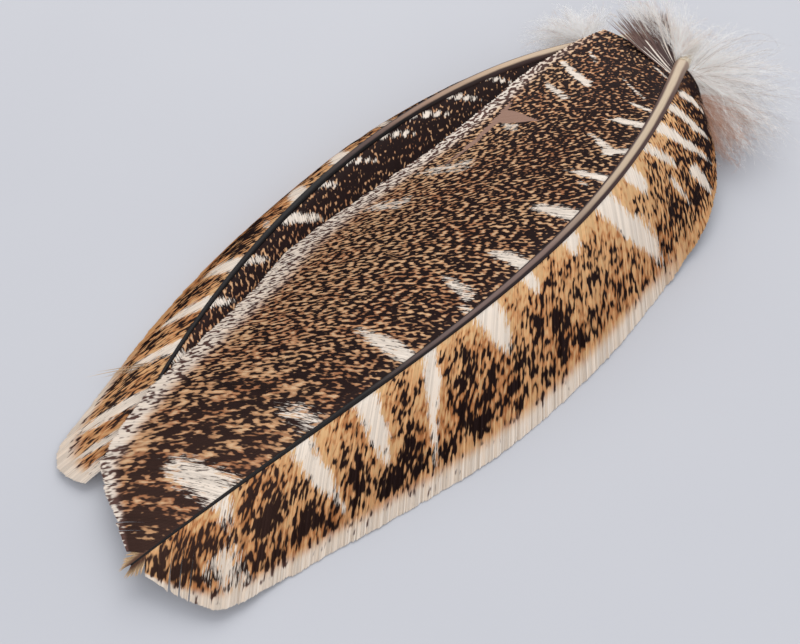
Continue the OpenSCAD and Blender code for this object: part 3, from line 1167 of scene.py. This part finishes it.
@dataclass
class UpperQuill(Quill):
    """The quill that lies on top."""

    body: Body = Body.UPPER
    line: CentreLine = CentreLine(
        ((16, 109, 20), (27, 76, 37.5), (52, 11, 28), (23, -39, 18), (6, -145, 9)))

    def broad_web(self) -> Web:
        """The broad web, dark and finely flecked, with short cream bars beside the shaft."""
        bars = bars_at((17.5, 0, 14.5, 10, 0.9, 0.9), (34, 4, 23, 17, 0.9, 0.9),
            (40, 0, 35.5, 10.5, 1.3, 1.0), (48.5, -1, 45, 13, 1.7, 1.2),
            (61.5, -2, 63.5, 7, 1.7, 1.1), (63, 5, 52, 17, 2.0, 1.1),
            (77.5, -2, 72, 15, 1.9, 1.2), (80, 4, 78, 10, 0.9, 0.8), (95.5, -3, 91, 17, 3.4, 1.1),
            (120, -3, 114.5, 15, 2.9, 1.1), (137, 4, 128, 20, 3.0, 0.85),
            (143, -1, 141.5, 5, 2.0, 0.7), (167, -2, 157, 24, 3.3, 1.05),
            (200, 0, 193, 18, 5.5, 0.72), (232.5, -3, 222, 25, 6.3, 1.1),
            (29, 25, 21.5, 39, 1.4, 1.2), (35, 30, 27.5, 42, 1.4, 0.9),
            (20.5, 27, 17.5, 33, 0.9, 0.8), (47, 42, 44, 49, 2.4, 0.7),
            (64, 50, 62, 70, 4.0, 0.75), (82, 60, 80, 78, 5.0, 0.7))
        pattern = Pattern(dark=(0.70, 0.64, 0.58, 0.54, 0.52, 0.51, 0.51, 0.55, 0.67),
                          dark_out=(0.14, 0.06, 0.02, -0.01, -0.03, -0.13), coarse_from=125,
                          bars=bars, rim_from=0.80, halo=0.14, most_coarse=0.9, bare=(
                              BareStreak(40, 50, 2.2, 3.2, 52, 61.5, 48.5),
                              BareStreak(40.5, 49, -0.32, 2.8, 48, 33, 51)))
        splits = (Split(232, 0.5, 0.8, 3), Split(66, 0.8, 0.8, 4),
                  Split(150, 0.5, 0.85, 4), Split(246, 0.5, 0.35, 2), Split(249, 0.4, 0.3, 2))
        return Web(self.line, Side.LEFT, 90, BROAD_PROFILE, (20, 18.5, 11, 9.5, 9),
                   (100, 57, 60), -20, 1.4, pattern, splits, splay=60, splay_fade=17, seed=11)

    def narrow_web(self) -> Web:
        """The narrow web, caramel with dark blotches, slanting cream bars and a cream margin."""
        bars = bars_at((23.5, 2, 15, 12, 2.1, 1.3), (34, 1, 27, 12, 2.3, 1.3),
            (28, 11, 20, 18, 1.8, 1.1), (46, 1, 35, 14, 2.5, 1.3), (35, 13, 26, 22, 1.7, 1.1),
            (57, 1, 44, 15, 2.3, 1.0), (38, 18, 31.5, 27, 2.8, 1.2), (70, 0, 63, 11, 3.2, 1.2),
            (50, 14, 42, 27, 1.3, 0.8), (70, 14, 58, 32, 6.0, 0.45), (87, -2, 74, 16, 4.4, 1.25),
            (75, 13, 64, 25, 3.0, 0.9), (104, -2, 99, 8, 3.6, 1.1), (123, -2, 116, 10, 2.6, 1.0),
            (139, 0, 128, 19, 4.6, 1.15), (161, -2, 156, 16, 3.0, 1.1),
            (157, 12, 153, 36, 2.6, 0.75), (185, -2, 175, 17, 4.2, 1.15),
            (176, 14, 170, 27, 3.0, 0.8), (207, -1, 194, 19, 3.9, 1.1),
            (195, 15, 184, 31, 2.4, 0.75), (233, -1, 226, 13, 3.6, 0.8),
            (230, 17, 216, 36, 7.0, 0.8))
        pattern = Pattern(dark=(0.92, 0.64, 0.34, 0.34, 0.38, 0.40, 0.44, 0.46, 0.44),
                          dark_out=(-0.08, 0.02, 0.06, 0.06, 0.08, -0.36), coarse_from=0,
                          bars=bars, rim_from=0.80, rim_after=40, halo=0.25)
        splits = (Split(239, 0.5, 0.3, 2.5), Split(243, 0.6, 0.25, 2.5), Split(247, 0.8, 0.3, 2))
        profile = (0.19, 0.69, 0.78, 0.90, 1.00, 0.96, 0.87, 0.78, 0.66)
        return Web(self.line, Side.RIGHT, 42, profile, (12, 0, 0, 0, 7),
                   (80, 42, 48), 4, 1.6, pattern, splits, seed=12)

    def build(self, broad: bpy.types.Material, narrow: bpy.types.Material,
              dark_strands: bpy.types.Material, tip_strands: bpy.types.Material) -> None:
        """Builds every piece of the upper quill with the given finishes."""
        # the top's stops are the horn's own colours, lightened by a painted highlight along the top
        self.build_shaft(
            crest_and_highlight=((0.0, HORN), (0.28, tint(186, 164, 138)), (0.42, tint(122, 98, 88)),
                   (0.58, MAUVE), (0.70, BLACK_HORN)),
            flank=((0.0, tint(150, 124, 104)), (0.12, tint(92, 68, 62)), (0.4, tint(46, 34, 35)),
                   (0.7, BLACK_HORN)))
        inner, outer = self.broad_web(), self.narrow_web()
        self.build_web(inner, "inner_vane", "broad_web", 0.045, 0.888, 46, broad)
        self.build_web(inner, "inner_tip_web", "broad_web", 0.888, 0.982, 34, broad)
        self.build_web(outer, "outer_vane", "narrow_web", 0.02, 0.938, 30, narrow)
        self.build_web(outer, "outer_tip_web", "narrow_web", 0.938, 0.982, 26, narrow)
        tip = (LooseBarbs(self.even_web(side, edge, angle, bend, 1.2), 0.978, 0.999, 30,
                          (length, 3.5), (0, -34), 0.45, scatter=2, seed=seed)
               for side, edge, angle, bend, length, seed in ((Side.LEFT, 8, 58, -14, 5.5, 31),
                                                             (Side.RIGHT, 7, 50, -10, 4.5, 32)))
        self.build_loose(tuple(tip), "tip_tuft", "narrow_web", tip_strands)
        basal = LooseBarbs(self.even_web(Side.LEFT, 25, 112, 8, 1.2), 0.002, 0.050, 110,
                           (23, 34), (42, 13), 0.75, scatter=2.5, cream_share=0.16, seed=33)
        self.build_loose((basal,), "basal_barbs", "dark_barbs", dark_strands)
        inner_lobes = (Lobe((0, 132, 21), 8), Lobe((-12, 129, 22), 10, 1.4),
                       Lobe((-16, 119, 24), 7, 0.8), Lobe((10, 137, 13), 8, 0.9))
        self.build_down("inner_down", {
            "pale": (Tuft((12, 111, 21), 2.0, inner_lobes, 240, seed=41), tint(250, 247, 243)),
            "brown": (Tuft((12, 111, 20), 2.0, inner_lobes, 60, seed=42), tint(220, 200, 188))})
        outer_lobes = (Lobe((18, 142, 10), 10, 0.8), Lobe((32, 142, 9), 13, 1.2),
                       Lobe((47, 128, 9), 14, 1.2), Lobe((55, 108, 9), 12),
                       Lobe((49, 95, 9), 9, 0.8))
        low_lobes = (Lobe((46, 110, 8), 9), Lobe((46, 96, 8), 9, 1.6))
        wisp_lobes = (Lobe((34, 146, 10), 12), Lobe((52, 130, 10), 12), Lobe((60, 108, 10), 9))
        self.build_down("outer_down", {
            "pale": (Tuft((19, 110, 17), 2.5, outer_lobes, 300, seed=43), tint(252, 250, 247)),
            "grey": (Tuft((20, 108, 17), 2.5, outer_lobes, 110, seed=44), tint(236, 228, 222)),
            "brown": (Tuft((24, 100, 16), 2.5, low_lobes, 170, seed=45), tint(196, 152, 128)),
            "wisps": (Tuft((20, 108, 17), 2.5, wisp_lobes, 46, hairs=26, hair_length=1.5,
                           barb_radius=0.07, curl=9, seed=49), tint(176, 160, 150))})


@dataclass
class LowerQuill(Quill):
    """The quill that lies beneath, mostly covered by the upper one's broad web."""

    body: Body = Body.LOWER
    line: CentreLine = CentreLine(
        ((-20, 107, 12), (-30, 74, 22), (-73, 12, 16), (-40, -95, 9), (-20, -132, 4)))

    def broad_web(self) -> Web:
        """The broad web, very dark, with small cream bars beside the shaft."""
        bars = bars_at((48, 0, 38, 6, 1.8, 1.4), (65, 0, 52, 8, 2.2, 1.5),
            (81, 0, 65, 8, 2.4, 1.5), (97, -1, 80, 8, 2.4, 1.4), (113, -1, 99, 8, 2.2, 1.2),
            (126.5, -1, 118, 6, 2.4, 1.1), (146, -2, 128, 12, 3.4, 1.2),
            (166, -2, 154, 8, 2.8, 1.1), (185, -2, 174, 7, 2.8, 1.1),
            (205, -1, 195, 11, 3.6, 0.9))
        pattern = Pattern(dark=(0.84, 0.79, 0.74, 0.70, 0.66, 0.60, 0.55, 0.52, 0.50),
                          dark_out=(0.16, 0.08, 0.0, -0.05, -0.1, -0.18), coarse_from=200,
                          bars=bars, rim_from=0.8, halo=0.1)
        return Web(self.line, Side.RIGHT, 74, BROAD_PROFILE, (6, 0, 0, 0, 3),
                   (100, 54, 60), -20, 1.2, pattern, seed=13)

    def narrow_web(self) -> Web:
        """The narrow web, barred with cream, dark and caramel, widest at its cream tip."""
        bars = bars_at((89, 1, 85, 10, 2.6, 0.9), (114, -1, 100, 13, 4.2, 1.2),
            (135, -2, 121, 12, 4.2, 1.2), (149, 0, 140, 9, 2.2, 0.6),
            (167, -2, 159, 16, 3.8, 1.2), (183, -2, 179, 20, 3.2, 1.2),
            (201, -1, 195, 22, 3.0, 1.1), (218, 1, 213, 30, 3.4, 1.2),
            (229.5, 1, 227, 20, 2.0, 1.2), (241, 0, 236, 16, 4.4, 0.9))
        pattern = Pattern(dark=(0.82, 0.74, 0.64, 0.56, 0.52, 0.50, 0.51, 0.53, 0.50),
                          dark_out=(0.0, 0.04, 0.04, 0.0, -0.16, -0.75), coarse_from=40,
                          bars=bars, rim_from=0.60, rim_after=170, halo=0.26)
        splits = (Split(196, 1.0, 0.5, 4), Split(210, 0.8, 0.6, 4))
        profile = (0.08, 0.25, 0.47, 0.61, 0.69, 0.78, 0.83, 0.94, 1.00)
        return Web(self.line, Side.LEFT, 36, profile, (4, 0, 0, 0, 3),
                   (80, 32, 44), -4, 1.6, pattern, splits, seed=14)

    def build(self, broad: bpy.types.Material, narrow: bpy.types.Material,
              pale_strands: bpy.types.Material) -> None:
        """Builds every piece of the lower quill with the given finishes."""
        # the top's stops are the horn's own colours, lightened by a painted highlight along the top
        self.build_shaft(
            crest_and_highlight=((0.0, HORN), (0.16, tint(192, 166, 138)), (0.30, tint(150, 120, 100)),
                   (0.40, tint(84, 62, 56)), (0.5, BLACK_HORN)),
            flank=((0.0, tint(120, 96, 82)), (0.12, tint(70, 52, 48)), (0.35, BLACK_HORN)))
        inner, outer = self.broad_web(), self.narrow_web()
        self.build_web(inner, "inner_vane", "broad_web", 0.045, 0.968, 40, broad)
        self.build_web(outer, "outer_vane", "narrow_web", 0.02, 0.888, 28, narrow)
        self.build_web(outer, "outer_tip_web", "narrow_web", 0.888, 0.970, 26, narrow)
        stray = LooseBarbs(self.even_web(Side.LEFT, 1.5, 62, 10, 1.6), 0.83, 0.836, 4,
                           (23, 20), (0, -2), 0.4, scatter=0.8, seed=34)
        self.build_loose((stray,), "stray_barb", "narrow_web", pale_strands)
        inner_lobes = (Lobe((-4, 124, 6), 7), Lobe((0, 112, 5), 6))
        self.build_down("inner_down", {
            "pale": (Tuft((-16.5, 106, 10.7), 1.5, inner_lobes, 120, seed=46),
                     tint(248, 245, 242))})
        outer_lobes = (Lobe((-30, 126, 7), 9), Lobe((-40, 116, 7), 9, 1.3), Lobe((-42, 104, 7), 8))
        self.build_down("outer_down", {
            "pale": (Tuft((-24, 109, 11), 1.8, outer_lobes, 250, seed=47), tint(253, 251, 249)),
            "brown": (Tuft((-24, 108, 11), 1.8, outer_lobes, 36, seed=48), tint(226, 212, 202))})


def dress_cad_pieces() -> None:
    """Gives the barrels, membrane caps and piths, which keep their own solids, their finishes."""
    finishes = {
        "barrel": GrainFinish("barrel_horn", tint(214, 200, 172), tint(190, 168, 136),
                              9.0, 0.5, 0.32, 0.02, 0.3),
        "pulp_caps": GrainFinish("dry_membrane", tint(226, 216, 194), tint(200, 184, 156),
                                 1.5, 0.3, 0.75, 0.03),
        "pith": GrainFinish("pith_foam", tint(240, 236, 226), tint(226, 218, 202),
                            2.0, 0.25, 0.9, 0.05)}
    for part, finish in finishes.items():
        material = finish.make()
        for quill in ("upper", "lower"):
            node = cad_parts[f"{quill}_{part}"]
            node.data.materials.clear()
            node.data.materials.append(material)
            LOG.info("%s: finished in %s", node.name, material.name)


# ---- studio ----


@dataclass(frozen=True)
class Studio:
    """Pale floor, soft lights and the camera."""

    azimuth: float = 40.0
    elevation: float = 52.0
    distance: float = 340.0
    aim: Point = (8.0, -38.0, 9.0)
    lens: float = 50.0
    floor_half: float = 1500.0
    floor_drop: float = 0.1

    def build_floor(self) -> None:
        """Lays the floor just under the quills."""
        h, z = self.floor_half, -self.floor_drop
        sheet = Sheet()
        sheet.add(np.array([[-h, -h, z], [h, -h, z], [h, h, z], [-h, h, z]]),
                  np.array([[0, 1, 2, 3]]), np.zeros((4, 2)))
        floor = sheet.build("floor", smooth=False)
        recipe = Recipe("pale_board")
        mist = recipe.noise(recipe.object_place(120), 2.0, 0.5)
        recipe.set(Base_Color=recipe.mix(mist, tint(193, 194, 199), tint(198, 199, 203)))
        recipe.set(Roughness=0.8, Specular_IOR_Level=0.2)
        floor.data.materials.append(recipe.material)

    def add_light(self, name: str, place: Point, size: float, watts: float, colour: Colour) -> None:
        """Adds a square soft light that faces the quills.

        Args:
            name: the light's name.
            place: where it hangs, in millimetres.
            size: its side, in millimetres.
            watts: its power.
            colour: its colour.
        """
        light = bpy.data.lights.new(name, "AREA")
        light.size = size * MM
        light.energy = watts
        light.color = colour
        made = bpy.data.objects.new(name, light)
        made.location = Vector(place) * MM
        made.rotation_euler = (Vector(self.aim) - Vector(place)).to_track_quat("-Z", "Y").to_euler()
        bpy.context.scene.collection.objects.link(made)

    def build_camera(self) -> None:
        """Hangs the camera at its angle and distance from the middle of the pair."""
        camera = bpy.data.cameras.new("camera")
        camera.lens = self.lens
        camera.clip_start = 0.01
        a, e = math.radians(self.azimuth), math.radians(self.elevation)
        back = Vector((math.sin(a) * math.cos(e), -math.cos(a) * math.cos(e), math.sin(e)))
        made = bpy.data.objects.new("camera", camera)
        made.location = (Vector(self.aim) + back * self.distance) * MM
        made.rotation_euler = (-back).to_track_quat("-Z", "Y").to_euler()
        bpy.context.scene.collection.objects.link(made)
        bpy.context.scene.camera = made

    def build(self) -> None:
        """Builds floor, lights, surroundings and camera."""
        self.build_floor()
        self.add_light("window", (-500, 500, 900), 1100, 8.0, (1.0, 0.98, 0.95))
        self.add_light("fill", (700, -500, 700), 900, 3.4, (0.95, 0.97, 1.0))
        world = bpy.data.worlds.new("room")
        world.use_nodes = True
        world.node_tree.nodes["Background"].inputs["Color"].default_value = (0.92, 0.94, 1.0, 1.0)
        world.node_tree.nodes["Background"].inputs["Strength"].default_value = 0.68
        bpy.context.scene.world = world
        bpy.context.scene.view_settings.view_transform = "Standard"
        self.build_camera()


def main() -> None:
    """Builds the pair in order: floor and lights, then the lower quill, then the upper one."""
    logging.basicConfig(level=logging.INFO, format="%(name)s: %(message)s")
    Studio().build()
    dress_cad_pieces()
    broad = WebFinish("broad_web_barbs", TAN, UMBER, CREAM, tint(170, 114, 78),
                      tint(210, 176, 138)).make()
    narrow = WebFinish("narrow_web_barbs", CARAMEL, UMBER, CREAM, tint(184, 122, 74),
                       tint(214, 174, 126), fleck_across=1.25, fleck_along=2.6,
                       blotch_across=4.4, blotch_along=6.5, blotch_fray=2.4).make()
    dark_strands = StrandFinish("basal_barb_strands", tint(74, 52, 48), tint(122, 94, 84)).make()
    pale_strands = StrandFinish("pale_barb_strands", tint(150, 116, 84), tint(222, 200, 170)).make()
    tip_strands = StrandFinish("tip_tuft_strands", tint(96, 64, 46), tint(222, 186, 142),
                               0.6, 3.6).make()
    LowerQuill().build(broad, narrow, pale_strands)
    UpperQuill().build(broad, narrow, dark_strands, tip_strands)


if __name__ == "__main__":
    main()
